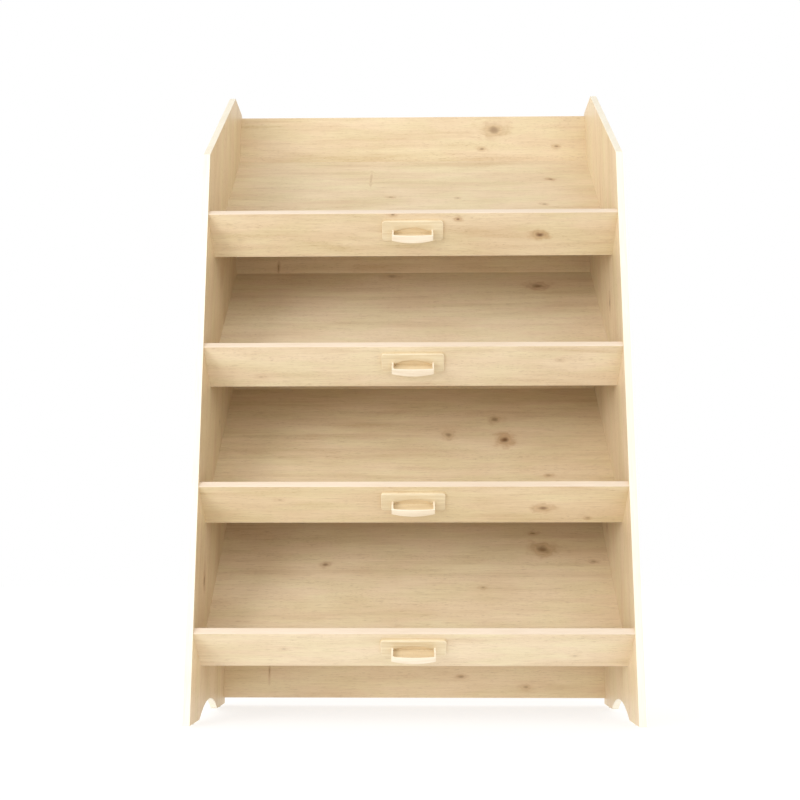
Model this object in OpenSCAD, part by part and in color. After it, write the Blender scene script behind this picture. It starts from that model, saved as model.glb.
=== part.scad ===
// Sloping four-tier book display stand, in millimetres.
// Origin on the floor at the middle of the footprint. +Z is up, the open front faces -Y, +X is to the
// right of someone who stands in front of it. Tier 1 is the lowest.

/* [Overall size] */
// Width across the two side panels
stand_w = 1000; // [830:10:1200]
// Depth from the front edges to the back panel's rear face
stand_d = 400; // [335:5:480]
// Height from the floor to the top of the side panels
stand_h = 1610; // [1340:5:1930]

/* [Boards] */
// Thickness of the decor boards
board_t = 16; // [14:0.1:19.2]
// Thickness of the edging that is glued round the boards
edging_t = 1; // [0.8:0.1:2]

/* [Side panels] */
// Rise and run of the 45 degree cut at the front of the top
top_cut = 293; // [245:1:300]
// Radius of the top rear corner
rear_corner_r = 10; // [6:1:15]
// Width of the arch between the front and rear foot
arch_w = 200; // [165:5:240]
// Height of that arch
arch_h = 34; // [28:1:41]

/* [Trays] */
// Slope of the shelf boards from the horizontal, in degrees
shelf_slope = 50; // [41.5:0.5:55]
// Height of the front lips, measured along their face down to the shelf's underside
lip_h = 118; // [98:1:142]
// Distance of the lips' top edge behind the side panels' front edge
lip_setback = 2; // [1:0.5:5]
// Height of the lowest lip's top edge above the floor
lowest_lip_z = 198; // [165:1:240]
// Distance from the stand's top down to the highest lip's top edge
highest_lip_drop = 443; // [420:1:500]

/* [Back panel] */
// Distance of the back panel's top edge below the stand's top
back_drop = 13; // [10:1:16]
// Height of the back panel's bottom edge above the floor
back_rise = 19; // [15:1:23]

/* [Pulls] */
// Width of the pull's plate
plate_w = 146; // [120:1:175]
// Height of the pull's plate
plate_h = 54; // [48:1:60]
// Thickness of the pull's plate
plate_t = 6; // [5:0.5:8]
// Corner radius of the pull's plate
plate_r = 8; // [5:1:12]
// Distance of the plate's top below the lip's top edge
plate_drop = 18; // [15:1:22]
// Width of the pull's grip
grip_w = 98; // [82:1:118]
// Height of the grip
grip_h = 20; // [17:1:24]
// Height of the grip's underside above the plate's bottom edge
grip_lift = 10; // [8:1:12]
// How far the middle of the grip stands out from the plate
grip_out = 29; // [24:1:35]
// How much less the grip's ends stand out than its middle
grip_bow = 3; // [2:0.5:5]
// How far the grip's underside rises from its middle to its ends
grip_sag = 5; // [3:0.5:5]
// Thickness of the grip's wall in front of the finger hollow
grip_wall = 4; // [3:0.5:5]
// Thickness of the grip's wall at each end of the finger hollow
grip_end = 4; // [3:0.5:6]
// Thickness of the grip below the finger hollow
grip_floor = 8; // [8:0.5:9.5]
// Radius of the arched top of the recess in the plate above the grip
recess_r = 85; // [72:1:100]
// How far that recess rises above the grip's top
recess_rise = 5.5; // [4.5:0.5:6.5]
// Depth of the recess in the plate
recess_depth = 4; // [3:0.5:4]

/* [Fixings] */
// Diameter of the assembly screws
screw_d = 7; // [6:0.5:8]
// Length of the assembly screws
screw_l = 50; // [42:1:60]
// Diameter of the assembly screws' countersunk heads
screw_head_d = 10; // [9:0.5:12]
// Diameter of the caps over the assembly screws
cap_d = 12; // [12:0.5:15]
// Diameter of the dowels
dowel_d = 8; // [6.5:0.5:9.5]
// Length of the dowels
dowel_l = 30; // [25:1:36]
// Diameter of the pull's screws
pull_screw_d = 3.5; // [3:0.1:4]
// Distance of the pull's screws from its middle
pull_screw_x = 25; // [20:1:30]
// Diameter of the foot glides
glide_d = 14; // [11.5:0.5:14]
// Height of the foot glides
glide_h = 3; // [2.5:0.5:4]

/* [Hidden] */
$fn = 48;
TIERS = 4;
FIT = 0.05;            // gap round a screw or a dowel in its bore
END_MARGIN = 60;       // from the end of a board to its nearest assembly screw
SHELF_SCREWS = 3;      // assembly screws in each end of a shelf board
BACK_SCREWS = 6;       // assembly screws in each edge of the back panel
LIP_DOWELS = 6;        // dowels between a lip and its shelf board
LIP_SCREW_SHARE = 0.3; // how far down a lip its end screw sits, as a share of its height
LIP_DOWEL_SHARE = 0.7; // how far down a lip its end dowel sits
DOWEL_IN_FACE = 10;    // how deep a dowel sits in a board's face
HEAD_DEPTH = 4;        // depth of the assembly screw's countersunk head
SOCKET_AF = 4;         // hexagon socket of the assembly screw
SOCKET_DEPTH = 3;
CAP_T = 1.2;
CAP_RIM = 0.4;         // bevel round the cap
CAP_PEG = 2;           // the cap's peg in the screw's socket
CAP_PEG_D = 3.4;
PULL_SCREW_IN = 18;    // how far a pull's screw goes into the grip
PULL_HEAD_D = 8;
PULL_HEAD_DEPTH = 2.4;
NAIL_D = 2;
NAIL_L = 15;
CORNER_STEPS = 10;     // flats round the side panel's rear corner
CUT = 1;               // how far a cutting tool passes the surface it cuts

front_y = -stand_d / 2;
rear_y = stand_d / 2;
inner_w = stand_w - 2 * board_t;
back_y = rear_y - board_t;
tier_pitch = (stand_h - highest_lip_drop - lowest_lip_z) / (TIERS - 1);
arch_r = arc_radius(arch_w, arch_h);
foot_y = (stand_d + arch_w) / 4;
lip_y = front_y + lip_setback;
shelf_mid_z = -lip_h + board_t / 2;
grip_drop = plate_drop + plate_h - grip_lift - grip_h;
hollow_z = -(grip_drop + grip_h - grip_floor);
hollow_half = grip_w / 2 - grip_end;
bow_r = arc_radius(grip_w, grip_bow);
sag_r = arc_radius(grip_w, grip_sag);
floor_at_screw = grip_floor - sag_r + sqrt(sag_r * sag_r - pull_screw_x * pull_screw_x);
pull_screw_z = hollow_z - floor_at_screw / 2;
pull_screw_l = board_t + plate_t + PULL_SCREW_IN;

// Radius of an arc from the width and height of its segment
function arc_radius(width, height) = (width * width / 4 + height * height) / (2 * height);

// Distance from the lip's outer face to the back panel, along a line at height z in a tray's own frame
function run_to_back(z) = (back_y - lip_y + sin(shelf_slope) * z) / cos(shelf_slope);

function lip_top_z(tier) = lowest_lip_z + (tier - 1) * tier_pitch;

// A point of a tray's own frame as [Y, Z] of the stand
function tray_point(tier, y, z) = [
    lip_y + cos(shelf_slope) * y - sin(shelf_slope) * z,
    lip_top_z(tier) + sin(shelf_slope) * y + cos(shelf_slope) * z
];

// count places from first to last, evenly spread
function spread(first, last, count) = [for (k = [0 : count - 1]) first + (last - first) * k / (count - 1)];

shelf_screw_y = spread(board_t + END_MARGIN, run_to_back(shelf_mid_z) - END_MARGIN, SHELF_SCREWS);
shelf_dowel_y = [for (k = [0 : SHELF_SCREWS - 2]) (shelf_screw_y[k] + shelf_screw_y[k + 1]) / 2];
lip_dowel_x = spread(-inner_w / 2 + END_MARGIN, inner_w / 2 - END_MARGIN, LIP_DOWELS);
back_screw_z = spread(back_rise + END_MARGIN, stand_h - back_drop - END_MARGIN, BACK_SCREWS);

// Every assembly screw through a side panel, as [Y, Z]
screw_places = concat(
    [for (tier = [1 : TIERS]) for (y = shelf_screw_y) tray_point(tier, y, shelf_mid_z)],
    [for (tier = [1 : TIERS]) tray_point(tier, board_t / 2, -LIP_SCREW_SHARE * lip_h)],
    [for (z = back_screw_z) [rear_y - board_t / 2, z]]
);

// Every dowel between a side panel and a board's end, as [Y, Z]
end_dowel_places = concat(
    [for (tier = [1 : TIERS]) for (y = shelf_dowel_y) tray_point(tier, y, shelf_mid_z)],
    [for (tier = [1 : TIERS]) tray_point(tier, board_t / 2, -LIP_DOWEL_SHARE * lip_h)]
);

// A tray's own frame: origin at the lip's top front edge, Y back along the shelf, Z up along the lip
module in_tray(tier) {
    translate([0, lip_y, lip_top_z(tier)])
        rotate([shelf_slope, 0, 0])
            children();
}

// Puts what is drawn for the right side on the left side too
module on_left() {
    mirror([1, 0, 0])
        children();
}

module on_both_sides() {
    children();
    on_left()
        children();
}

// Turns a Z axis to +X and starts it at the outer face of the right side panel, pointing inwards
module from_right_face(places) {
    for (place = places)
        translate([stand_w / 2, place[0], place[1]])
            rotate([0, -90, 0])
                children();
}

// A side panel's outline in Y and Z, drawn in by inset all round
module side_outline(inset) {
    slant = inset * tan(22.5);
    corner = [rear_y - rear_corner_r, stand_h - rear_corner_r];
    corner_arc = [for (a = [90 : -90 / CORNER_STEPS : 0])
        corner + (rear_corner_r - inset) * [cos(a), sin(a)]];
    difference() {
        polygon(concat(
            [
                [rear_y - inset, glide_h + inset],
                [front_y + inset, glide_h + inset],
                [front_y + inset, stand_h - top_cut - slant],
                [front_y + top_cut + slant, stand_h - inset]
            ],
            corner_arc
        ));
        translate([0, glide_h + arch_h - arch_r])
            circle(r = arch_r + inset, $fn = 180);
    }
}

// The outline as a board on the right side, grown by past beyond both of its faces
module side_slab(inset, past = 0) {
    translate([inner_w / 2 - past, 0, 0])
        rotate([90, 0, 90])
            linear_extrude(height = board_t + 2 * past)
                side_outline(inset);
}

module assembly_screw_bore() {
    translate([0, 0, -CUT])
        cylinder(d = screw_d + 2 * FIT, h = screw_l + CUT + FIT);
    translate([0, 0, -CUT])
        cylinder(d = screw_head_d + 2 * FIT, h = CUT);
    cylinder(d1 = screw_head_d + 2 * FIT, d2 = screw_d + 2 * FIT, h = HEAD_DEPTH);
}

module assembly_screw() {
    difference() {
        union() {
            cylinder(d1 = screw_head_d, d2 = screw_d, h = HEAD_DEPTH);
            translate([0, 0, HEAD_DEPTH])
                cylinder(d = screw_d, h = screw_l - HEAD_DEPTH - screw_d / 2);
            translate([0, 0, screw_l - screw_d / 2])
                cylinder(d1 = screw_d, d2 = screw_d / 2, h = screw_d / 2);
        }
        translate([0, 0, -CUT])
            cylinder(d = SOCKET_AF / cos(30), h = SOCKET_DEPTH + CUT, $fn = 6);
    }
}

module screw_cap() {
    translate([0, 0, -CAP_T])
        cylinder(d1 = cap_d - 2 * CAP_RIM, d2 = cap_d, h = CAP_RIM);
    translate([0, 0, CAP_RIM - CAP_T])
        cylinder(d = cap_d, h = CAP_T - CAP_RIM);
    cylinder(d = CAP_PEG_D, h = CAP_PEG);
}

// A dowel across a joint, from depth DOWEL_IN_FACE inside the first board
module dowel(gap) {
    translate([0, 0, -DOWEL_IN_FACE - gap])
        cylinder(d = dowel_d + 2 * gap, h = dowel_l + 2 * gap);
}

// Dowels between the right side panel and the boards' ends, grown by gap for their bores
module right_end_dowels(gap) {
    translate([-board_t, 0, 0])
        from_right_face(end_dowel_places)
            dowel(gap);
}

// Dowels between a lip and its shelf board, in the tray's frame
module lip_dowel_row(gap) {
    for (x = lip_dowel_x)
        translate([x, board_t, shelf_mid_z])
            rotate([-90, 0, 0])
                dowel(gap);
}

module glide_places() {
    on_both_sides()
        for (y = [-foot_y, foot_y])
            translate([(stand_w - board_t) / 2, y, 0])
                children();
}

module nail_bores() {
    glide_places()
        cylinder(d = NAIL_D + 2 * FIT, h = glide_h + NAIL_L + FIT);
}

module end_bores() {
    on_both_sides() {
        from_right_face(screw_places)
            assembly_screw_bore();
        right_end_dowels(FIT);
    }
}

module right_panel() {
    color("burlywood")
        difference() {
            side_slab(edging_t);
            end_bores();
            nail_bores();
        }
}

module right_edging() {
    color("wheat")
        difference() {
            side_slab(0);
            side_slab(edging_t, CUT);
            nail_bores();
        }
}

module back_slab(y0, z0, z1) {
    translate([-inner_w / 2, y0, z0])
        cube([inner_w, board_t, z1 - z0]);
}

module back_panel() {
    color("burlywood")
        difference() {
            back_slab(back_y, back_rise + edging_t, stand_h - back_drop - edging_t);
            end_bores();
        }
}

module back_panel_edging() {
    color("wheat") {
        back_slab(back_y, back_rise, back_rise + edging_t);
        back_slab(back_y, stand_h - back_drop - edging_t, stand_h - back_drop);
    }
}

// A shelf board: square where it meets the lip, bevelled to lie flat on the back panel
module shelf_board(tier) {
    low = -lip_h;
    high = -lip_h + board_t;
    color("burlywood")
        difference() {
            in_tray(tier)
                translate([-inner_w / 2, 0, 0])
                    rotate([90, 0, 90])
                        linear_extrude(height = inner_w)
                            polygon([
                                [board_t, low],
                                [run_to_back(low), low],
                                [run_to_back(high), high],
                                [board_t, high]
                            ]);
            end_bores();
            in_tray(tier)
                lip_dowel_row(FIT);
        }
}

module lip_slab(z0, z1) {
    translate([-inner_w / 2, 0, z0])
        cube([inner_w, board_t, z1 - z0]);
}

module front_lip(tier) {
    color("burlywood")
        difference() {
            in_tray(tier)
                lip_slab(-lip_h + edging_t, -edging_t);
            end_bores();
            in_tray(tier) {
                lip_dowel_row(FIT);
                pull_screw_bores();
            }
        }
}

module lip_edging(tier) {
    color("wheat")
        in_tray(tier) {
            lip_slab(-lip_h, -lip_h + edging_t);
            lip_slab(-edging_t, 0);
        }
}

// The pull's two screws come from inside the tray, through the lip and the plate, into the grip
module pull_screw_places() {
    for (x = [-pull_screw_x, pull_screw_x])
        translate([x, board_t, pull_screw_z])
            rotate([90, 0, 0])
                children();
}

module pull_screw_bores() {
    pull_screw_places() {
        translate([0, 0, -CUT])
            cylinder(d = pull_screw_d + 2 * FIT, h = pull_screw_l + CUT + FIT);
        translate([0, 0, -CUT])
            cylinder(d = PULL_HEAD_D + 2 * FIT, h = CUT);
        cylinder(d1 = PULL_HEAD_D + 2 * FIT, d2 = pull_screw_d + 2 * FIT, h = PULL_HEAD_DEPTH);
    }
}

module pull_screw() {
    tip = pull_screw_d;
    slot = [PULL_HEAD_D / 2, 1, 1.2];
    difference() {
        union() {
            cylinder(d1 = PULL_HEAD_D, d2 = pull_screw_d, h = PULL_HEAD_DEPTH);
            translate([0, 0, PULL_HEAD_DEPTH])
                cylinder(d = pull_screw_d, h = pull_screw_l - PULL_HEAD_DEPTH - tip);
            translate([0, 0, pull_screw_l - tip])
                cylinder(d1 = pull_screw_d, d2 = 1, h = tip);
        }
        for (turn = [0, 90])
            rotate([0, 0, turn])
                cube([slot[0], slot[1], 2 * slot[2]], center = true);
    }
}

// Flat board w wide, h high and t thick with its corners rounded, standing out to -Y from Y = 0
module rounded_plate(w, h, t, r) {
    translate([-w / 2 + r, -t, 0])
        cube([w - 2 * r, t, h]);
    translate([-w / 2, -t, r])
        cube([w, t, h - 2 * r]);
    for (x = [-w / 2 + r, w / 2 - r])
        for (z = [r, h - r])
            translate([x, 0, z])
                rotate([90, 0, 0])
                    cylinder(r = r, h = t);
}

// Recess in the plate behind and above the grip, which makes room for the fingers
module plate_recess() {
    recess_top = recess_rise - grip_drop;
    intersection() {
        translate([-hollow_half, -plate_t - CUT, hollow_z])
            cube([2 * hollow_half, recess_depth + CUT, recess_top - hollow_z + CUT]);
        translate([0, 0, recess_top - recess_r])
            rotate([90, 0, 0])
                cylinder(r = recess_r, h = plate_t + 2 * CUT, $fn = 180);
    }
}

module pull_plate(tier) {
    color("burlywood")
        in_tray(tier)
            difference() {
                translate([0, 0, -plate_drop - plate_h])
                    rounded_plate(plate_w, plate_h, plate_t, plate_r);
                plate_recess();
                pull_screw_bores();
            }
}

// The space behind the grip's bowed front, drawn in by inset: X across, Y out of the plate
module bowed_outline(half, low, inset) {
    intersection() {
        translate([-half, low])
            square([2 * half, grip_out - low]);
        translate([0, grip_out - bow_r])
            circle(r = bow_r - inset, $fn = 180);
    }
}

// The grip: a block with a bowed front, an underside that rises to its ends, and a finger hollow that is
// open to the plate and to the top
module pull_grip(tier) {
    color("burlywood")
        in_tray(tier)
            difference() {
                translate([0, -plate_t, -grip_drop - grip_h])
                    intersection() {
                        mirror([0, 1, 0])
                            linear_extrude(height = grip_h)
                                bowed_outline(grip_w / 2, 0, 0);
                        translate([0, CUT, sag_r])
                            rotate([90, 0, 0])
                                cylinder(r = sag_r, h = grip_out + 2 * CUT, $fn = 360);
                    }
                translate([0, -plate_t, hollow_z])
                    mirror([0, 1, 0])
                        linear_extrude(height = grip_h)
                            bowed_outline(hollow_half, -CUT, grip_wall);
                pull_screw_bores();
            }
}

module pull_screws() {
    color("silver")
        for (tier = [1 : TIERS])
            in_tray(tier)
                pull_screw_places()
                    pull_screw();
}

module right_assembly_screws() {
    color("silver")
        from_right_face(screw_places)
            assembly_screw();
}

module right_screw_caps() {
    color("tan")
        from_right_face(screw_places)
            screw_cap();
}

module end_dowels() {
    color("peru")
        on_both_sides()
            right_end_dowels(0);
}

module lip_dowels() {
    color("peru")
        for (tier = [1 : TIERS])
            in_tray(tier)
                lip_dowel_row(0);
}

module foot_glides() {
    color("white")
        glide_places() {
            cylinder(d = glide_d, h = glide_h);
            translate([0, 0, glide_h])
                cylinder(d = NAIL_D, h = NAIL_L);
        }
}

on_left() right_panel();  // left_side_panel
right_panel();  // right_side_panel
on_left() right_edging();  // left_side_edging
right_edging();  // right_side_edging
back_panel();
back_panel_edging();
shelf_board(1);  // shelf_board_1
shelf_board(2);  // shelf_board_2
shelf_board(3);  // shelf_board_3
shelf_board(4);  // shelf_board_4
front_lip(1);  // front_lip_1
front_lip(2);  // front_lip_2
front_lip(3);  // front_lip_3
front_lip(4);  // front_lip_4
lip_edging(1);  // lip_edging_1
lip_edging(2);  // lip_edging_2
lip_edging(3);  // lip_edging_3
lip_edging(4);  // lip_edging_4
pull_plate(1);  // pull_plate_1
pull_plate(2);  // pull_plate_2
pull_plate(3);  // pull_plate_3
pull_plate(4);  // pull_plate_4
pull_grip(1);  // pull_grip_1
pull_grip(2);  // pull_grip_2
pull_grip(3);  // pull_grip_3
pull_grip(4);  // pull_grip_4
pull_screws();
on_left() right_assembly_screws();  // left_assembly_screws
right_assembly_screws();
on_left() right_screw_caps();  // left_screw_caps
right_screw_caps();
end_dowels();
lip_dowels();
foot_glides();
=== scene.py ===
"""Book display stand: four sloping trays between two side panels, in metres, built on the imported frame."""

import math

import bmesh
import bpy
from mathutils import Matrix, Vector


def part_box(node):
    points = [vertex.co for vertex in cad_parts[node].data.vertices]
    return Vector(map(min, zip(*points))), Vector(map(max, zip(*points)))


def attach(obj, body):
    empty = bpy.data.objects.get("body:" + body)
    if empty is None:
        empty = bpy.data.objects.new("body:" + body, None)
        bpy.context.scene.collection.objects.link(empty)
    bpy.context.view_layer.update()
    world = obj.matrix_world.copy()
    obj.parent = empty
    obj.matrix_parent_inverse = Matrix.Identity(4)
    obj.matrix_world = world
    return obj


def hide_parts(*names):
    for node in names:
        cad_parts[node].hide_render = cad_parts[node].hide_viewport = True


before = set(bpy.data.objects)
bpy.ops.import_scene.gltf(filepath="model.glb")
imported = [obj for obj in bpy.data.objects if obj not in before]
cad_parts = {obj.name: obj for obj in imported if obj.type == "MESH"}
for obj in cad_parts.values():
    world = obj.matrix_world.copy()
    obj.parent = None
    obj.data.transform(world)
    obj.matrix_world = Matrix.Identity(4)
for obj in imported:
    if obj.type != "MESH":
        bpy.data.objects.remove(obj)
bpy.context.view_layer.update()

# Side panels
# Two full-height ends of light oak decor board, 16 mm thick, grain upright. They are sawn to shape with a
# 45 degree cut at the top front, a small round at the top rear and an arch between the feet.
stand_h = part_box("left_side_edging")[1].z
upright = (0.0, -math.pi / 2, 0.0)

# A knot: place along and across the grain from the board's middle, length, width, darkness.
side_knots = {
    "left": [
        (-0.49, -0.10, 0.030, 0.014, 0.7),
        (0.36, 0.09, 0.022, 0.010, 0.5),
        (-0.1, 0.02, 0.018, 0.008, 0.35),
    ],
    "right": [
        (0.18, -0.06, 0.028, 0.012, 0.55),
        (-0.36, 0.08, 0.020, 0.010, 0.45),
        (0.55, 0.11, 0.016, 0.008, 0.4),
    ],
}
# Painted light: the right panel is made paler, for the lamp light from the left on its inner face.
side_painted_light = {"left": 0.0, "right": 0.2}
side_seed = {"left": 11.0, "right": 23.0}

# A layer of the oak figure: seed shift, length and width of its blots, detail, roughness.
oak_layers = {
    "wander": (0.0, 0.45, 0.12, 2.0, 0.5),
    "hills": (4.7, 1.1, 0.22, 1.0, 0.4),
    "figure": (9.1, 0.6, 0.1, 2.0, 0.5),
    "streaks": (2.3, 0.11, 0.006, 4.0, 0.62),
    "fibres": (6.9, 0.07, 0.0022, 3.0, 0.6),
    "flecks": (3.9, 0.024, 0.0022, 2.0, 0.55),
    "pores": (8.2, 0.012, 0.0011, 2.0, 0.5),
    "clouds": (1.3, 0.24, 0.07, 3.0, 0.55),
    "bands": (7.5, 0.60, 0.024, 2.0, 0.5),
    "blush": (5.6, 0.15, 0.035, 2.0, 0.5),
}
wander_width = 0.016
rings_per_m = 22.0
rings_per_hill = 9.0
late_wood_shade = 0.10
oak_specular = 0.4
oak_relief = 0.0003


def srgb(red, green, blue):
    """A colour in screen values from 0 to 255 as the linear colour that a shader takes."""
    channels = []
    for value in (red, green, blue):
        share = value / 255
        channels.append(share / 12.92 if share <= 0.04045 else ((share + 0.055) / 1.055) ** 2.4)
    return (*channels, 1.0)


pale_oak = Vector(srgb(235, 216, 182))
dark_oak = Vector(srgb(202, 174, 131))
# The colour that paleness mixes a board towards: painted light on the right side and the shelves; on the lips
# it only sets each lip a little paler or darker.
paler_oak = Vector(srgb(250, 238, 214))
oak_pore = srgb(160, 124, 82)
knot_heart = srgb(98, 60, 28)
knot_halo = srgb(176, 124, 68)
green_blush = (0.988, 1.0, 0.955, 1.0)
pink_blush = (1.0, 0.975, 0.97, 1.0)


def add_node(tree, kind, inputs=None, **settings):
    """Adds a node, sets it up, and links or fills the named inputs. A bare kind is a shader node."""
    node = tree.nodes.new(kind if "Node" in kind else "ShaderNode" + kind)
    node.location = (180 * len(tree.nodes), 0)
    for name, value in settings.items():
        setattr(node, name, value)
    for name, value in (inputs or {}).items():
        if isinstance(value, bpy.types.NodeSocket):
            tree.links.new(value, node.inputs[name])
        else:
            node.inputs[name].default_value = value
    return node


def maths(tree, operation, first, second=0.0, third=0.0):
    return add_node(tree, "Math", {0: first, 1: second, 2: third}, operation=operation).outputs[0]


def map_range(tree, value, low, high, to_low=0.0, to_high=1.0):
    """Eases a value from to_low, where it is low, to to_high, where it is high."""
    inputs = {"Value": value, "From Min": low, "From Max": high, "To Min": to_low, "To Max": to_high}
    return add_node(tree, "MapRange", inputs, interpolation_type="SMOOTHSTEP").outputs["Result"]


def mix_colour(tree, factor, first, second, blend="MIX"):
    inputs = {0: factor, 6: first, 7: second}
    return add_node(tree, "Mix", inputs, data_type="RGBA", blend_type=blend).outputs[2]


def noise(tree, where, scale, detail):
    return add_node(tree, "TexNoise", {"Vector": where, "Scale": scale, "Detail": detail}).outputs[0]


def stretched_noise(tree, along, across, deep, blot, detail=2.0, roughness=0.5):
    """Noise drawn out along the grain: blot is the size of its blots along and across, in metres."""
    inputs = {
        "X": maths(tree, "DIVIDE", along, blot[0]),
        "Y": maths(tree, "DIVIDE", across, blot[1]),
        "Z": deep,
    }
    spot = add_node(tree, "CombineXYZ", inputs).outputs[0]
    inputs = {"Vector": spot, "Scale": 1.0, "Detail": detail, "Roughness": roughness}
    return add_node(tree, "TexNoise", inputs).outputs[0]


def new_group(name, inputs, outputs):
    """A shader node group with named sockets. Returns it with its input and output nodes."""
    tree = bpy.data.node_groups.new(name, "ShaderNodeTree")
    for way, sockets in (("INPUT", inputs), ("OUTPUT", outputs)):
        for label, kind in sockets.items():
            tree.interface.new_socket(label, in_out=way, socket_type="NodeSocket" + kind)
    return tree, tree.nodes.new("NodeGroupInput").outputs, tree.nodes.new("NodeGroupOutput").inputs


def new_material(name, specular=0.5, metallic=0.0):
    """A material of one shader. Returns it with its node tree, its shader and Object coordinates."""
    material = bpy.data.materials.new(name)
    material.use_nodes = True
    shader = material.node_tree.nodes["Principled BSDF"]
    shader.inputs["Metallic"].default_value = metallic
    shader.inputs["Specular IOR Level"].default_value = specular
    where = add_node(material.node_tree, "TexCoord").outputs["Object"]
    return material, material.node_tree, shader, where


def own_space(tree, where, turn, centre=(0.0, 0.0, 0.0)):
    """Coordinates turned and centred so that the piece's grain runs along X."""
    inputs = {"Vector": where, "Location": centre, "Rotation": turn}
    return add_node(tree, "Mapping", inputs, vector_type="TEXTURE").outputs[0]


def add_relief(tree, shader, height, strength, depth):
    """Fine relief in the shading, of a depth in metres."""
    bump = add_node(tree, "Bump", {"Strength": strength, "Distance": depth, "Height": height})
    tree.links.new(bump.outputs[0], shader.inputs["Normal"])


def knot_group():
    """A knot: its dark heart, its soft halo, and how far it turns the grain aside, across the board."""
    inputs = {
        "Vector": "Vector",
        "Heart": "Float",
        "Halo": "Float",
        "Centre": "Vector",
        "Length": "Float",
        "Width": "Float",
        "Darkness": "Float",
    }
    tree, given, result = new_group("Knot", inputs, {"Shift": "Float", "Heart": "Float", "Halo": "Float"})
    away = add_node(tree, "VectorMath", {0: given["Vector"], 1: given["Centre"]}, operation="SUBTRACT")
    apart = add_node(tree, "SeparateXYZ", {0: away.outputs[0]}).outputs
    along = maths(tree, "DIVIDE", apart["X"], given["Length"])
    across = maths(tree, "DIVIDE", apart["Y"], given["Width"])
    squares = maths(tree, "ADD", maths(tree, "POWER", along, 2.0), maths(tree, "POWER", across, 2.0))
    unevenness = map_range(tree, noise(tree, given["Vector"], 52.0, 1.5), 0.3, 0.7, 0.6, 1.6)
    squares = maths(tree, "MULTIPLY", squares, unevenness)
    distance = maths(tree, "SQRT", squares)
    pull = maths(tree, "EXPONENT", maths(tree, "MULTIPLY", squares, -0.9))
    shift = maths(tree, "MULTIPLY", maths(tree, "MULTIPLY", apart["Y"], pull), -0.75)
    heart = map_range(tree, distance, 0.62, 0.05)
    off_ring = maths(tree, "ABSOLUTE", maths(tree, "SUBTRACT", distance, 0.75))
    ring = map_range(tree, off_ring, 0.0, 0.2, 0.12, 0.0)
    heart = maths(tree, "MULTIPLY", maths(tree, "MAXIMUM", heart, ring), given["Darkness"])
    halo = maths(tree, "MULTIPLY", map_range(tree, distance, 1.5, 0.4), given["Darkness"])
    tree.links.new(shift, result["Shift"])
    tree.links.new(maths(tree, "MAXIMUM", heart, given["Heart"]), result["Heart"])
    tree.links.new(maths(tree, "MAXIMUM", halo, given["Halo"]), result["Halo"])
    return tree


def oak_group():
    """Oak figure in a board's own space: grain along X, face in X and Y. Gives colour, gloss and relief."""
    inputs = {
        "Vector": "Vector",
        "Seed": "Float",
        "Heart": "Float",
        "Halo": "Float",
        "Pale wood": "Color",
        "Dark wood": "Color",
        "Pore": "Color",
    }
    outputs = {"Color": "Color", "Roughness": "Float", "Height": "Float"}
    tree, given, result = new_group("Oak figure", inputs, outputs)
    spot = add_node(tree, "SeparateXYZ", {0: given["Vector"]}).outputs
    along, level = spot["X"], spot["Y"]

    def layer(name, line):
        shift, length, width, detail, roughness = oak_layers[name]
        deep = maths(tree, "ADD", given["Seed"], shift)
        return stretched_noise(tree, along, line, deep, (length, width), detail, roughness)

    wander = maths(tree, "MULTIPLY", maths(tree, "SUBTRACT", layer("wander", level), 0.5), wander_width)
    across = maths(tree, "ADD", level, wander)
    rings = maths(tree, "MULTIPLY", across, rings_per_m)
    rings = maths(tree, "MULTIPLY_ADD", layer("hills", across), rings_per_hill, rings)
    late_wood = map_range(tree, maths(tree, "PINGPONG", rings, 0.5), 0.08, 0.48)
    spread = map_range(tree, layer("figure", across), 0.35, 0.65, 0.25, 1.0)
    late_wood = maths(tree, "MULTIPLY", late_wood, spread)
    fibres = layer("fibres", across)
    flecks = map_range(tree, layer("flecks", across), 0.57, 0.72)
    pores = map_range(tree, layer("pores", across), 0.58, 0.70)
    pores = maths(tree, "MULTIPLY", pores, map_range(tree, late_wood, 0.0, 0.8, 0.35, 1.0))

    shade = maths(tree, "MULTIPLY", late_wood, late_wood_shade)
    for value, low, high, depth in (
        (layer("streaks", across), 0.40, 0.75, 0.16),
        (fibres, 0.30, 0.75, 0.22),
        (layer("bands", across), 0.50, 0.70, 0.22),
        (layer("clouds", level), 0.35, 0.70, 0.26),
    ):
        shade = maths(tree, "ADD", shade, map_range(tree, value, low, high, 0.0, depth))
    colour = mix_colour(tree, shade, given["Pale wood"], given["Dark wood"])
    for mask, depth in ((flecks, 0.24), (pores, 0.40)):
        colour = mix_colour(tree, maths(tree, "MULTIPLY", mask, depth), colour, given["Pore"])
    tint = mix_colour(tree, map_range(tree, layer("blush", level), 0.36, 0.62), green_blush, pink_blush)
    colour = mix_colour(tree, 1.0, colour, tint, "MULTIPLY")
    for mask, depth, stain in ((given["Halo"], 0.46, knot_halo), (given["Heart"], 0.85, knot_heart)):
        colour = mix_colour(tree, maths(tree, "MULTIPLY", mask, depth), colour, stain)
    tree.links.new(colour, result["Color"])
    dents = maths(tree, "ADD", maths(tree, "MULTIPLY", pores, 0.7), maths(tree, "MULTIPLY", flecks, 0.3))
    tree.links.new(maths(tree, "MULTIPLY_ADD", dents, 0.16, 0.42), result["Roughness"])
    relief = maths(tree, "SUBTRACT", maths(tree, "MULTIPLY", fibres, 0.5), dents)
    tree.links.new(relief, result["Height"])
    return tree


knot = knot_group()
oak = oak_group()


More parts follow.
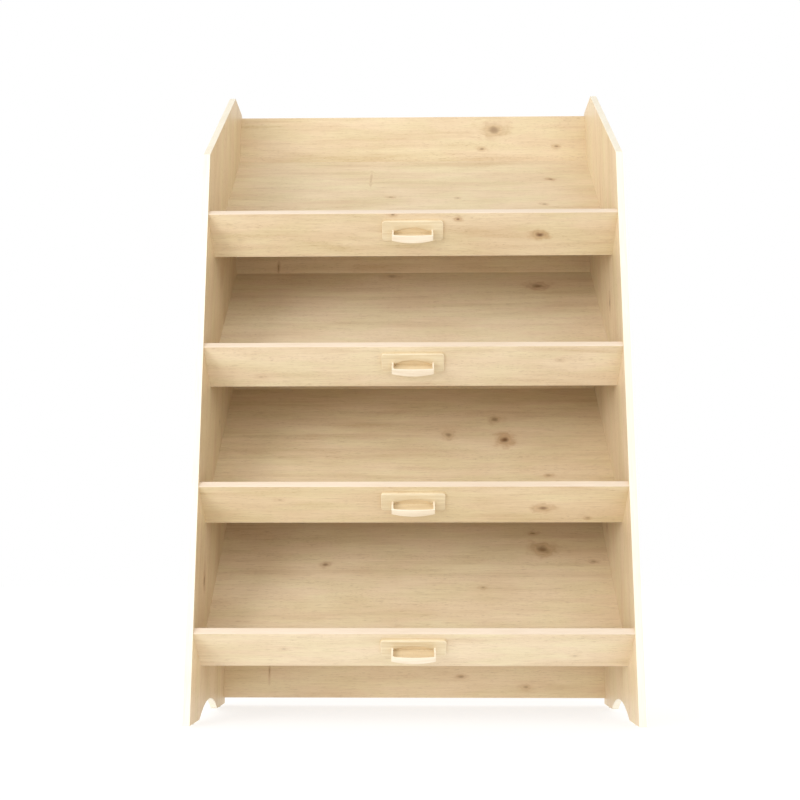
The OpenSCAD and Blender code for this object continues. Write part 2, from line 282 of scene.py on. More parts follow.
def oak_board(name, centre, turn, seed, knots, paleness=0.0):
    """Decor board material. Centre and turn set the board's own space, in which the knots lie."""
    material, tree, shader, where = new_material(name, oak_specular)
    vector, heart, halo = own_space(tree, where, turn, centre), 0.0, 0.0
    for x, y, length, width, darkness in knots:
        inputs = {
            "Vector": vector,
            "Heart": heart,
            "Halo": halo,
            "Centre": (x, y, 0.0),
            "Length": length,
            "Width": width,
            "Darkness": darkness,
        }
        around = add_node(tree, "Group", inputs, node_tree=knot).outputs
        shift = add_node(tree, "CombineXYZ", {"Y": around["Shift"]}).outputs[0]
        vector = add_node(tree, "VectorMath", {0: vector, 1: shift}, operation="ADD").outputs[0]
        heart, halo = around["Heart"], around["Halo"]
    inputs = {
        "Vector": vector,
        "Seed": seed,
        "Heart": heart,
        "Halo": halo,
        # Paleness mixes the board's colours towards paler oak; for the right side and the shelves this is
        # painted light.
        "Pale wood": pale_oak.lerp(paler_oak, paleness),
        "Dark wood": dark_oak.lerp(paler_oak, paleness / 2),
        "Pore": oak_pore,
    }
    wood = add_node(tree, "Group", inputs, node_tree=oak).outputs
    tree.links.new(wood["Color"], shader.inputs["Base Color"])
    tree.links.new(wood["Roughness"], shader.inputs["Roughness"])
    add_relief(tree, shader, wood["Height"], 0.35, oak_relief)
    return material


def finish_node(name, material):
    """Gives a carried-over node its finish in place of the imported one."""
    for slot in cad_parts[name].material_slots:
        slot.material = material


for side, knots in side_knots.items():
    middle = (0.0, 0.0, stand_h / 2)
    material = oak_board(side + " side oak", middle, upright, side_seed[side], knots, side_painted_light[side])
    finish_node(side + "_side_panel", material)

# Side edging
# One strip of 1 mm light oak plastic round the whole outline of each side panel, glued on, trimmed flush
# with both faces and its two outer edges scraped round.
edging_t = 0.001
edge_r = 0.0008
foot_lift = 0.003
top_cut = 0.293
rear_corner_r = 0.010
arch_w = 0.200
arch_h = 0.034
SMOOTH_ANGLE = 40
CORNER_STEPS = 10
ARCH_STEPS = 32
EDGE_STEPS = 4
stand_low, stand_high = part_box("left_side_edging")
front_y, rear_y = stand_low.y, stand_high.y


def side_outline(inset):
    """A side panel's outline as (y, z) points, drawn in by inset all round."""
    arch_r = (arch_w**2 / 4 + arch_h**2) / (2 * arch_h)
    arch_z = foot_lift + arch_h - arch_r
    slant = inset * math.tan(math.radians(22.5))
    points = [
        (front_y + inset, foot_lift + inset),
        (front_y + inset, stand_h - top_cut - slant),
        (front_y + top_cut + slant, stand_h - inset),
    ]
    corner_y, corner_z = rear_y - rear_corner_r, stand_h - rear_corner_r
    corner_r = rear_corner_r - inset
    for step in range(CORNER_STEPS + 1):
        angle = math.pi / 2 * (1 - step / CORNER_STEPS)
        points.append((corner_y + corner_r * math.cos(angle), corner_z + corner_r * math.sin(angle)))
    points.append((rear_y - inset, foot_lift + inset))
    cut_r = arch_r + inset
    half_turn = math.acos((foot_lift + inset - arch_z) / cut_r)
    for step in range(ARCH_STEPS + 1):
        angle = half_turn * (1 - 2 * step / ARCH_STEPS)
        points.append((cut_r * math.sin(angle), arch_z + cut_r * math.cos(angle)))
    return points


def scene_object(name, mesh):
    made = bpy.data.objects.new(name, mesh)
    bpy.context.scene.collection.objects.link(made)
    return made


def plain_mesh(holder):
    """The mesh that an object's modifiers make. The object itself is removed."""
    graph = bpy.context.evaluated_depsgraph_get()
    mesh = bpy.data.meshes.new_from_object(holder.evaluated_get(graph), depsgraph=graph)
    bpy.data.objects.remove(holder)
    return mesh


def drawn_mesh(name, bm):
    mesh = bpy.data.meshes.new(name)
    bm.to_mesh(mesh)
    bm.free()
    return mesh


def as_piece(name, bm, slot, *materials):
    """Turns a closed bmesh into a piece with softly shaded rounds and flat faces left flat."""
    bmesh.ops.recalc_face_normals(bm, faces=bm.faces)
    mesh = drawn_mesh(name, bm)
    mesh.shade_smooth()
    mesh.set_sharp_from_angle(angle=math.radians(SMOOTH_ANGLE))
    rough = scene_object(name + "_rough", mesh)
    rough.modifiers.new("Flat faces stay flat", "WEIGHTED_NORMAL").keep_sharp = True
    finished = plain_mesh(rough)
    finished.name = name
    for material in materials:
        finished.materials.append(material)
    piece = scene_object(name, finished)
    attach(piece, "root")
    return piece


def rubbed_group():
    """Edges that hands rub: paler and a little glossier, in patches, where the mesh is marked as rubbed."""
    inputs = {"Color": "Color", "Roughness": "Float", "Rubbed color": "Color", "Amount": "Float"}
    tree, given, result = new_group("Rubbed edges", inputs, {"Color": "Color", "Roughness": "Float"})
    where = add_node(tree, "TexCoord").outputs["Object"]
    mark = add_node(tree, "Attribute", attribute_name="rubbed").outputs["Fac"]
    patches = map_range(tree, noise(tree, where, 70.0, 3.0), 0.35, 0.6, 0.45, 1.0)
    mask = maths(tree, "MULTIPLY", maths(tree, "MULTIPLY", mark, patches), given["Amount"])
    tree.links.new(mix_colour(tree, mask, given["Color"], given["Rubbed color"]), result["Color"])
    gloss = maths(tree, "MULTIPLY", given["Roughness"], maths(tree, "MULTIPLY_ADD", mask, -0.25, 1.0))
    tree.links.new(gloss, result["Roughness"])
    return tree


rubbed = rubbed_group()


def mark_rubbed(bm, faces):
    """Marks faces for the rubbed-edge effect. A new layer makes old face references invalid."""
    bm.faces.index_update()
    marked = [face.index for face in faces]
    layer = bm.faces.layers.float.get("rubbed") or bm.faces.layers.float.new("rubbed")
    bm.faces.ensure_lookup_table()
    for index in marked:
        bm.faces[index][layer] = 1.0


def finish_rubbed(tree, shader, colour, roughness, rubbed_colour, amount):
    """Puts the rubbed-edge effect between a colour and a roughness and the shader."""
    inputs = {"Color": colour, "Roughness": roughness, "Rubbed color": rubbed_colour, "Amount": amount}
    effect = add_node(tree, "Group", inputs, node_tree=rubbed).outputs
    tree.links.new(effect["Color"], shader.inputs["Base Color"])
    tree.links.new(effect["Roughness"], shader.inputs["Roughness"])


def edging_material(name, turn, pale, dark):
    """Satin plastic edging with a faint printed grain along the strip."""
    material, tree, shader, where = new_material(name)
    spot = add_node(tree, "SeparateXYZ", {0: own_space(tree, where, turn)}).outputs
    across = maths(tree, "ADD", spot["Y"], spot["Z"])
    grain = stretched_noise(tree, spot["X"], across, 3.0, (0.06, 0.002), 3.0, 0.6)
    clouds = stretched_noise(tree, spot["X"], across, 7.0, (0.3, 0.05))
    shade = maths(tree, "MULTIPLY_ADD", grain, 0.7, maths(tree, "MULTIPLY", clouds, 0.5))
    colour = mix_colour(tree, map_range(tree, shade, 0.35, 0.9), pale, dark)
    finish_rubbed(tree, shader, colour, map_range(tree, grain, 0.2, 0.8, 0.34, 0.5), srgb(250, 240, 220), 0.4)
    add_relief(tree, shader, grain, 0.2, 0.0002)
    return material


def strip_section(low_x, high_x):
    """Section of a strip as (inset, x): flat outside, with its two outer edges rounded."""
    section = [(edging_t, low_x)]
    for step in range(EDGE_STEPS + 1):
        angle = math.pi / 2 * step / EDGE_STEPS
        section.append((edge_r * (1 - math.sin(angle)), low_x + edge_r * (1 - math.cos(angle))))
    for inset, x in list(reversed(section)):
        section.append((inset, low_x + high_x - x))
    return section


upright_edging = edging_material("upright edging", upright, srgb(252, 245, 227), srgb(243, 231, 206))
for side in side_knots:
    low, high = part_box(side + "_side_edging")
    bm = bmesh.new()
    rings, rounded = [], []
    section = strip_section(low.x, high.x)
    half = len(section) // 2
    round_steps = (*range(1, half - 1), *range(half, len(section) - 2))
    for inset, x in section:
        rings.append([bm.verts.new((x, y, z)) for y, z in side_outline(inset)])
    for step, (ring, following) in enumerate(zip(rings, rings[1:] + rings[:1])):
        for here in range(len(ring)):
            after = (here + 1) % len(ring)
            face = bm.faces.new((ring[here], ring[after], following[after], following[here]))
            if step in round_steps:
                rounded.append(face)
    mark_rubbed(bm, rounded)
    band = as_piece(side + "_side_edge_band", bm, "edging", upright_edging)
    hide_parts(side + "_side_edging")

# Back panel
# One decor board between the side panels, grain across. It closes the whole rear and takes the shelf
# boards' rear ends. Its top and bottom edges carry the same edging, its ends are screwed through the sides.
inner_low, inner_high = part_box("back_panel")
facing_front = (math.pi / 2, 0.0, 0.0)
back_seed = 37.0
back_knots = [
    (0.228, 0.749, 0.044, 0.026, 0.60),
    (0.194, 0.692, 0.016, 0.009, 0.6),
    (0.401, 0.699, 0.016, 0.008, 0.65),
    (0.120, -0.737, 0.018, 0.009, 0.55),
    (0.284, -0.762, 0.016, 0.008, 0.5),
    (-0.31, 0.30, 0.03, 0.014, 0.5),
    (0.15, -0.12, 0.022, 0.011, 0.5),
]
# Short upright lines where two staves meet end to end, in the same form.
back_stave_ends = [(-0.369, 0.347, 0.004, 0.026, 0.55), (-0.369, -0.724, 0.004, 0.032, 0.50)]
middle = (0.0, 0.0, (inner_low.z + inner_high.z) / 2)
back_oak = oak_board("back oak", middle, facing_front, back_seed, back_knots + back_stave_ends)
finish_node("back_panel", back_oak)

level_edging = edging_material("level edging", (0.0, 0.0, 0.0), srgb(243, 226, 205), srgb(230, 209, 183))


def extruded(section, low_x, high_x, place=None):
    """A closed bar: a (y, z) section carried from low_x to high_x, and moved by the matrix place."""
    bm = bmesh.new()
    ends = [[bm.verts.new((x, y, z)) for y, z in section] for x in (low_x, high_x)]
    bm.faces.new(ends[0])
    bm.faces.new(reversed(ends[1]))
    for here in range(len(section)):
        after = (here + 1) % len(section)
        bm.faces.new((ends[0][here], ends[1][here], ends[1][after], ends[0][after]))
    if place is not None:
        bm.transform(place)
    return bm


def edging_strips(name, low_x, high_x, low, high, place=None):
    """Two strips on a board's long edges: low and high are corners of the edged board as (y, z)."""
    strips = bmesh.new()
    for edge_z, outward in ((high[1], 1), (low[1], -1)):
        section = [(y, edge_z - outward * inset) for inset, y in strip_section(low[0], high[0])]
        part = drawn_mesh(name, extruded(section, low_x, high_x, place))
        strips.from_mesh(part)
        bpy.data.meshes.remove(part)
    return as_piece(name, strips, "edging", level_edging)


board_ends = (inner_low.x, inner_high.x)
low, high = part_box("back_panel_edging")
back_strips = edging_strips("back_edge_strips", *board_ends, (low.y, low.z), (high.y, high.z))
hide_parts("back_panel_edging")

# Shelf boards
# Four decor boards, one to a tray, all at the same slope. Each is square where the lip is dowelled and glued
# to its front end, and sawn at an angle at the rear so that it lies flat on the back panel.
board_t = 0.016
lip_h = 0.118
shelf_slope = math.radians(50)
TIERS = (1, 2, 3, 4)
shelf_knots = {
    1: [
        (0.324, 0.090, 0.038, 0.026, 0.75),
        (0.304, 0.144, 0.018, 0.009, 0.65),
        (-0.219, 0.041, 0.018, 0.009, 0.7),
        (0.168, -0.031, 0.014, 0.008, 0.45),
        (0.446, 0.051, 0.016, 0.008, 0.5),
    ],
    2: [
        (0.231, 0.024, 0.026, 0.026, 1.0),
        (0.210, 0.101, 0.020, 0.018, 0.6),
        (0.090, 0.043, 0.018, 0.020, 0.55),
        (0.327, -0.105, 0.016, 0.008, 0.45),
    ],
    3: [(0.334, 0.160, 0.034, 0.022, 0.75), (-0.056, 0.212, 0.040, 0.020, 0.35)],
    4: [
        (0.373, 0.119, 0.016, 0.009, 0.75),
        (0.119, 0.017, 0.012, 0.007, 0.5),
        (-0.059, 0.024, 0.014, 0.007, 0.55),
        (-0.113, 0.121, 0.004, 0.045, 0.3),
        (0.343, -0.018, 0.014, 0.008, 0.5),
    ],
}
# Painted light: the shelves are made paler, the third most, so they look more brightly lit under the lips
# above.
shelf_painted_light = {1: 0.2, 2: 0.05, 3: 0.35, 4: 0.1}
shelf_seed = {tier: 40.0 + 7.7 * tier for tier in TIERS}


def tray_place(tier):
    """A tray's own frame: origin at the lip's top front edge, Y back along the shelf, Z up along the lip."""
    low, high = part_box("lip_edging_%d" % tier)
    corner = Vector((0.0, low.y, high.z - math.sin(shelf_slope) * board_t))
    return Matrix.Translation(corner) @ Matrix.Rotation(shelf_slope, 4, "X")


def run_to_back(tier, height):
    """Distance from the lip's outer face to the back panel, at a height of the tray's frame."""
    reach = inner_low.y - tray_place(tier).translation.y
    return (reach + math.sin(shelf_slope) * height) / math.cos(shelf_slope)


for tier, knots in shelf_knots.items():
    top_z = board_t - lip_h
    middle = tray_place(tier) @ Vector((0.0, (board_t + run_to_back(tier, top_z)) / 2, top_z))
    turn = (shelf_slope, 0.0, 0.0)
    material = oak_board("shelf %d oak" % tier, middle, turn, shelf_seed[tier], knots, shelf_painted_light[tier])
    finish_node("shelf_board_%d" % tier, material)

# Front lips
# A decor board across the front of each tray, square to its shelf, so it leans forward and keeps the books
# in. Its top and bottom edges carry edging, and the top one is what catches the light.
lip_turn = (shelf_slope + math.pi / 2, 0.0, 0.0)
lip_knots = {
    1: [(-0.289, 0.004, 0.014, 0.008, 0.3), (0.36, -0.02, 0.014, 0.007, 0.3)],
    2: [
        (0.297, -0.011, 0.030, 0.015, 0.75),
        (0.403, -0.044, 0.012, 0.007, 0.45),
        (-0.304, 0.016, 0.014, 0.007, 0.3),
    ],
    3: [(0.342, 0.018, 0.014, 0.007, 0.3), (-0.36, -0.03, 0.014, 0.007, 0.25)],
    4: [
        (0.305, -0.002, 0.024, 0.014, 1.0),
        (0.108, 0.042, 0.012, 0.008, 0.9),
        (-0.047, 0.055, 0.012, 0.007, 0.6),
        (-0.417, -0.011, 0.014, 0.008, 0.15),
    ],
}
lip_paleness = {1: 0.25, 2: -0.1, 3: 0.25, 4: 0.0}
lip_seed = {tier: 90.0 + 5.3 * tier for tier in TIERS}
for tier, knots in lip_knots.items():
    place = tray_place(tier)
    middle = place @ Vector((0.0, 0.0, -lip_h / 2))
    material = oak_board("lip %d oak" % tier, middle, lip_turn, lip_seed[tier], knots, lip_paleness[tier])
    finish_node("front_lip_%d" % tier, material)
    strips = edging_strips("lip_%d_edge_strips" % tier, *board_ends, (0.0, -lip_h), (board_t, 0.0), place)
    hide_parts("lip_edging_%d" % tier)

# Pull plates
# A plate of solid light wood on the middle of each lip, its corners and front edges rounded over. The
# recess with an arched top is routed into it, and two screws from inside the tray hold plate and grip.
plate_w = 0.146
plate_h = 0.054
plate_t = 0.006
plate_r = 0.008
plate_drop = 0.018
plate_round = 0.0018
recess_r = 0.085
recess_rise = 0.0055
recess_depth = 0.004
# The recess is as wide as the grip's hollow and ends level with its floor.
grip_w = 0.098
grip_h = 0.020
grip_drop = 0.042
grip_floor = 0.008
grip_wall = 0.004
hollow_half = grip_w / 2 - grip_wall
hollow_z = grip_floor - grip_h - grip_drop
PAST = 0.002
NEAR = 0.0001
JOIN = 1e-6
BEVEL_ANGLE = 30
BEVEL_STEPS = 3
CORNER_ARC_STEPS = 8
LONG_ARC_STEPS = 24


def arc(centre, radius, start, end, steps):
    """Points of an arc of a circle round centre, from angle start to angle end in degrees."""
    points = []
    for step in range(steps + 1):
        angle = math.radians(start + (end - start) * step / steps)
        points.append((centre[0] + radius * math.cos(angle), centre[1] + radius * math.sin(angle)))
    return points


def axes_swapped(bm, first, second):
    """Swaps two axes of a closed shape, and turns its faces outwards again."""
    swap = Matrix.Identity(4)
    swap[first], swap[second] = swap[second].copy(), swap[first].copy()
    bm.transform(swap)
    bmesh.ops.recalc_face_normals(bm, faces=bm.faces)
    return bm


def slab(outline, low_y, high_y):
    """A closed slab: an (x, z) outline carried from low_y to high_y."""
    return axes_swapped(extruded(outline, low_y, high_y), 0, 1)


def combined(body, tool, operation):
    """Two closed shapes joined or cut by a boolean. Returns the result as a bmesh."""
    first = scene_object("body", drawn_mesh("body", body))
    second = scene_object("tool", drawn_mesh("tool", tool))
    cut = first.modifiers.new("cut", "BOOLEAN")
    cut.operation, cut.object, cut.solver = operation, second, "EXACT"
    result = bmesh.new()
    result.from_mesh(plain_mesh(first))
    bpy.data.objects.remove(second)
    bmesh.ops.remove_doubles(result, verts=result.verts, dist=JOIN)
    return result


def round_edges(bm, radius, keep_sharp):
    """Rounds every edge sharper than BEVEL_ANGLE, apart from those for which keep_sharp(edge) is true."""
    bend = math.radians(BEVEL_ANGLE)
    corners = [edge for edge in bm.edges if len(edge.link_faces) == 2 and edge.calc_face_angle() > bend]
    sharp = [edge for edge in corners if not keep_sharp(edge)]
    made = bmesh.ops.bevel(
        bm, geom=sharp, offset=radius, segments=BEVEL_STEPS, profile=0.5, affect="EDGES", clamp_overlap=True
    )
    mark_rubbed(bm, made["faces"])


def paint_hollow_shade(bm, is_inside):
    """Painted shade: sets the second, darker material on the faces whose middle satisfies is_inside."""
    for face in bm.faces:
        if is_inside(face.calc_center_median()):
            face.material_index = 1


def plate_outline():
    half, low, high = plate_w / 2 - plate_r, -plate_drop - plate_h + plate_r, -plate_drop - plate_r
    points = []
    for quarter, corner in enumerate(((half, low), (half, high), (-half, high), (-half, low))):
        points += arc(corner, plate_r, 90 * (quarter - 1), 90 * quarter, CORNER_ARC_STEPS)
    return points


def recess_outline():
    """The recess ends at the grip's floor below and in an arch above."""
    spread = math.degrees(math.asin(hollow_half / recess_r))
    arch_z = recess_rise - grip_drop - recess_r
    top = arc((0.0, arch_z), recess_r, 90 - spread, 90 + spread, LONG_ARC_STEPS)
    return [(-hollow_half, hollow_z), (hollow_half, hollow_z)] + top


def solid_wood(name, pale, dark, seed):
    """Solid close-grained light wood under clear satin lacquer, grain across the stand."""
    material, tree, shader, where = new_material(name)
    spot = add_node(tree, "SeparateXYZ", {0: own_space(tree, where, (shelf_slope, 0.0, 0.0))}).outputs
    along, level = spot["X"], spot["Z"]
    deep = maths(tree, "MULTIPLY_ADD", spot["Y"], 90.0, seed)
    bands = stretched_noise(tree, along, level, deep, (0.09, 0.006), 3.0, 0.6)
    fibres = stretched_noise(tree, along, level, maths(tree, "ADD", deep, 5.0), (0.012, 0.0008), 3.0, 0.6)
    flecks = stretched_noise(tree, along, level, maths(tree, "ADD", deep, 8.0), (0.004, 0.0007), 1.0)
    shade = map_range(tree, bands, 0.32, 0.72, 0.0, 0.7)
    shade = maths(tree, "MULTIPLY_ADD", fibres, 0.4, shade)
    shade = maths(tree, "ADD", shade, map_range(tree, flecks, 0.6, 0.75, 0.0, 0.3))
    gloss = map_range(tree, fibres, 0.3, 0.7, 0.30, 0.42)
    finish_rubbed(tree, shader, mix_colour(tree, shade, pale, dark), gloss, srgb(248, 234, 208), 0.35)
    add_relief(tree, shader, fibres, 0.25, 0.0002)
    return material


def stays_sharp(edge):
    """True for a plate's rear edges and for the recess's lower edge, which meets the grip's floor."""
    at_lip = min(abs(vert.co.y) for vert in edge.verts) < NEAR
    return at_lip or max(abs(vert.co.z - hollow_z) for vert in edge.verts) < NEAR


plate_wood = solid_wood("pull plate wood", srgb(238, 222, 188), srgb(218, 196, 156), 2.0)
# A darker wood laid on the pulls' recesses and hollows as painted shade.
hollow_shade_wood = solid_wood("painted hollow shade wood", srgb(240, 221, 184), srgb(220, 197, 158), 9.0)
for tier in TIERS:
    recess = slab(recess_outline(), -plate_t - PAST, recess_depth - plate_t)
    body = combined(slab(plate_outline(), -plate_t, 0.0), recess, "DIFFERENCE")
    round_edges(body, plate_round, stays_sharp)
    # Painted shade: the recess floor takes the darker second material.
    paint_hollow_shade(body, lambda middle: abs(middle.y + plate_t - recess_depth) < NEAR)
    body.transform(tray_place(tier))
    plate = as_piece("pull_plate_%d_board" % tier, body, "solid_wood", plate_wood, hollow_shade_wood)
    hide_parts("pull_plate_%d" % tier)

# Pull grips
# A short bar of paler solid wood below the recess, bowed in front, its underside rising to the ends. It is
# hollowed from the top for the fingertips, and every edge that a hand meets is sanded round.
grip_out = 0.029
grip_bow = 0.003
grip_sag = 0.005
grip_round = 0.0014


def arc_radius(width, height):
    """Radius of an arc from the width and the height of its segment."""
    return (width**2 / 4 + height**2) / (2 * height)


def bowed(half, low, inset):
    """Plan of what lies behind the bowed front, drawn in by inset, as (x, distance out of the plate)."""
    radius = arc_radius(grip_w, grip_bow)
    spread = math.degrees(math.asin(half / (radius - inset)))
    front = arc((0.0, grip_out - radius), radius - inset, 90 - spread, 90 + spread, LONG_ARC_STEPS)
    return [(-half, low), (half, low)] + front


def upright_bar(plan, low_z, high_z):
    """A plan of (x, distance out of the plate) carried from low_z to high_z, in the tray's frame."""
    return axes_swapped(slab([(x, -plate_t - out) for x, out in plan], low_z, high_z), 1, 2)


def grip_front():
    """The grip seen from the front: straight on top, its underside an arc that rises to the ends."""
    radius = arc_radius(grip_w, grip_sag)
    half = grip_w / 2 + PAST
    spread = math.degrees(math.asin(half / radius))
    centre = (0.0, -grip_drop - grip_h + radius)
    under = arc(centre, radius, 270 - spread, 270 + spread, LONG_ARC_STEPS)
    return under + [(half, PAST), (-half, PAST)]


def at_plate(edge):
    """True for an edge of the grip's rear face, which is glued to the plate."""
    return min(abs(vert.co.y + plate_t) for vert in edge.verts) < NEAR


def in_hollow(middle):
    """True for a point on the hollow's walls and floor."""
    out = -plate_t - middle.y
    level = hollow_z - NEAR < middle.z < -grip_drop - grip_round / 2
    return level and abs(middle.x) < hollow_half + NEAR and out < grip_out - grip_wall + 5 * NEAR


grip_wood = solid_wood("pull grip wood", srgb(250, 238, 216), srgb(236, 218, 190), 6.0)
for tier in TIERS:
    block = upright_bar(bowed(grip_w / 2, 0.0, 0.0), -grip_drop - grip_h, -grip_drop)
    body = combined(block, slab(grip_front(), -plate_t - grip_out - PAST, PAST), "INTERSECT")
    hollow = upright_bar(bowed(hollow_half, -PAST, grip_wall), hollow_z, 0.0)
    body = combined(body, hollow, "DIFFERENCE")
    round_edges(body, grip_round, at_plate)
    # Painted shade: the hollow's walls and floor take the darker second material.
    paint_hollow_shade(body, in_hollow)
    body.transform(tray_place(tier))
    grip = as_piece("pull_grip_%d_bar" % tier, body, "solid_wood", grip_wood, hollow_shade_wood)
    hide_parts("pull_grip_%d" % tier)

# Pull screws
# Eight zinc-plated cross-head screws, two to a pull. Each goes from inside the tray through lip and plate
# into the grip, its countersunk head flush with the back of the lip.
pull_screw_sizes = {
    "Head diameter": 0.008,
    "Head depth": 0.0024,
    "Diameter": 0.0035,
    "Length": 0.040,
    "Cross width": 0.0010,
    "Cross depth": 0.0013,
}
cross_share = 0.55
tip_ratio = 0.25
SCREW_SIDES = 32


def part_centres(node):
    """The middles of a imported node's separate solids, from a merged copy of its mesh."""
    bm = bmesh.new()
    bm.from_mesh(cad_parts[node].data)
    bmesh.ops.remove_doubles(bm, verts=bm.verts, dist=JOIN)
    waiting, centres = set(bm.verts), []
    while waiting:
        found = [waiting.pop()]
        for vert in found:
            for edge in vert.link_edges:
                other = edge.other_vert(vert)
                if other in waiting:
                    waiting.remove(other)
                    found.append(other)
        lows = [min(vert.co[axis] for vert in found) for axis in range(3)]
        highs = [max(vert.co[axis] for vert in found) for axis in range(3)]
        centres.append((Vector(lows) + Vector(highs)) / 2)
    bm.free()
    return sorted(centres, key=lambda centre: tuple(round(value, 4) for value in centre))


def new_shape_tree(name, sizes):
    """A Geometry Nodes tree that takes places and sizes. Returns it with its input and output nodes."""
    tree = bpy.data.node_groups.new(name, "GeometryNodeTree")
    inputs = {"Places": "Geometry", "Turn": "Vector", "Material": "Material", **dict.fromkeys(sizes, "Float")}
    for label, kind in inputs.items():
        tree.interface.new_socket(label, in_out="INPUT", socket_type="NodeSocket" + kind)
    tree.interface.new_socket("Geometry", in_out="OUTPUT", socket_type="NodeSocketGeometry")
    return tree, tree.nodes.new("NodeGroupInput").outputs, tree.nodes.new("NodeGroupOutput").inputs


def grown(tree, mesh, selection, rise, width_ratio=None):
    """Draws the selected face out by rise, then scales it. Returns the mesh and its new end face."""
    inputs = {"Mesh": mesh, "Offset Scale": rise, "Individual": False}
    if selection is not None:
        inputs["Selection"] = selection
    drawn = add_node(tree, "GeometryNodeExtrudeMesh", inputs).outputs
    mesh, end = drawn["Mesh"], drawn["Top"]
    if width_ratio is not None:
        inputs = {"Geometry": mesh, "Selection": end, "Scale": width_ratio}
        mesh = add_node(tree, "GeometryNodeScaleElements", inputs).outputs["Geometry"]
    return mesh, end


def closed_and_placed(tree, given, result, disc, mesh, cutters=()):
    """Closes the drawn shape with its first face, cuts it, and sets one at each place."""
    under = add_node(tree, "GeometryNodeFlipFaces", {"Mesh": disc})
    joined = tree.nodes.new("GeometryNodeJoinGeometry")
    for part in (under.outputs[0], mesh):
        tree.links.new(part, joined.inputs[0])
    inputs = {"Geometry": joined.outputs[0], "Distance": JOIN}
    shape = add_node(tree, "GeometryNodeMergeByDistance", inputs).outputs[0]
    for cutter in cutters:
        cut = add_node(tree, "GeometryNodeMeshBoolean", operation="DIFFERENCE", solver="EXACT")
        tree.links.new(shape, cut.inputs["Mesh 1"])
        tree.links.new(cutter, cut.inputs["Mesh 2"])
        shape = cut.outputs["Mesh"]
    inputs = {"Points": given["Places"], "Instance": shape, "Rotation": given["Turn"]}
    placed = add_node(tree, "GeometryNodeInstanceOnPoints", inputs)
    real = add_node(tree, "GeometryNodeRealizeInstances", {"Geometry": placed.outputs[0]})
    inputs = {"Geometry": real.outputs[0], "Material": given["Material"]}
    tree.links.new(add_node(tree, "GeometryNodeSetMaterial", inputs).outputs[0], result["Geometry"])
    return tree


def round_disc(tree, diameter, sides):
    inputs = {"Radius": maths(tree, "DIVIDE", diameter, 2.0), "Vertices": sides}
    return add_node(tree, "GeometryNodeMeshCircle", inputs, fill_type="NGON").outputs[0]


def cross_head_tree():
    """A countersunk screw that points along its own Z, with a cross cut into its head."""
    tree, given, result = new_shape_tree("Cross-head screws", pull_screw_sizes)
    disc = round_disc(tree, given["Head diameter"], SCREW_SIDES)
    neck_ratio = maths(tree, "DIVIDE", given["Diameter"], given["Head diameter"])
    mesh, end = grown(tree, disc, None, given["Head depth"], neck_ratio)
    ends = maths(tree, "ADD", given["Head depth"], given["Diameter"])
    shank = maths(tree, "SUBTRACT", given["Length"], ends)
    mesh, end = grown(tree, mesh, end, shank)
    mesh, end = grown(tree, mesh, end, given["Diameter"], tip_ratio)
    long_side = maths(tree, "MULTIPLY", given["Head diameter"], cross_share)
    height = maths(tree, "MULTIPLY", given["Cross depth"], 2.0)
    cutters = []
    for x, y in ((long_side, given["Cross width"]), (given["Cross width"], long_side)):
        size = add_node(tree, "CombineXYZ", {"X": x, "Y": y, "Z": height})
        cutters.append(add_node(tree, "GeometryNodeMeshCube", {"Size": size.outputs[0]}).outputs["Mesh"])
    return closed_and_placed(tree, given, result, disc, mesh, cutters)


def placed_copies(name, tree, places, turn, sizes, slot, material):
    """Runs a shape tree on a set of places, and makes one plain piece of the result."""
    points = bpy.data.meshes.new(name)
    points.from_pydata([tuple(place) for place in places], [], [])
    holder = scene_object(name + "_places", points)
    shaper = holder.modifiers.new(tree.name, "NODES")
    shaper.node_group = tree
    for label, value in {"Turn": turn, "Material": material, **sizes}.items():
        shaper[tree.interface.items_tree[label].identifier] = value
    bm = bmesh.new()
    bm.from_mesh(plain_mesh(holder))
    return as_piece(name, bm, slot, material)


def zinc_plate():
    """Bright zinc: grey with a faint straw tint in patches, and fine scratches in its gloss."""
    material, tree, shader, where = new_material("zinc plate", metallic=1.0)
    patches = noise(tree, where, 420.0, 3.0)
    scratches = noise(tree, where, 2600.0, 2.0)
    tint = mix_colour(tree, map_range(tree, patches, 0.4, 0.65), srgb(206, 208, 210), srgb(214, 204, 178))
    tree.links.new(tint, shader.inputs["Base Color"])
    tree.links.new(map_range(tree, scratches, 0.3, 0.7, 0.22, 0.42), shader.inputs["Roughness"])
    add_relief(tree, shader, scratches, 0.15, 0.0001)
    return material


zinc = zinc_plate()
head_places = []
for centre in part_centres("pull_screws"):
    tier = min(TIERS, key=lambda number: abs((tray_place(number).inverted() @ centre).z + lip_h / 2))
    place = tray_place(tier)
    in_tray = place.inverted() @ centre
    head_places.append(place @ Vector((in_tray.x, board_t, in_tray.z)))
screws = placed_copies(
    "pull_screw_set", cross_head_tree(), head_places, lip_turn, pull_screw_sizes, "zinc_steel", zinc
)
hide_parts("pull_screws")

# Assembly screws and their caps
# Zinc-plated steel screws go through the side panels into the ends of shelves, lips and back. They are out
# of sight under moulded plastic caps in the board's colour, each pressed into the screw's socket.
cap_sizes = {
    "Diameter": 0.012,
    "Height": 0.0012,
    "Round": 0.0004,
    "Dimple diameter": 0.005,
    "Dimple depth": 0.00015,
}
shoulder_share = 0.3
dimple_ratio = 0.8
DISC_SIDES = 40


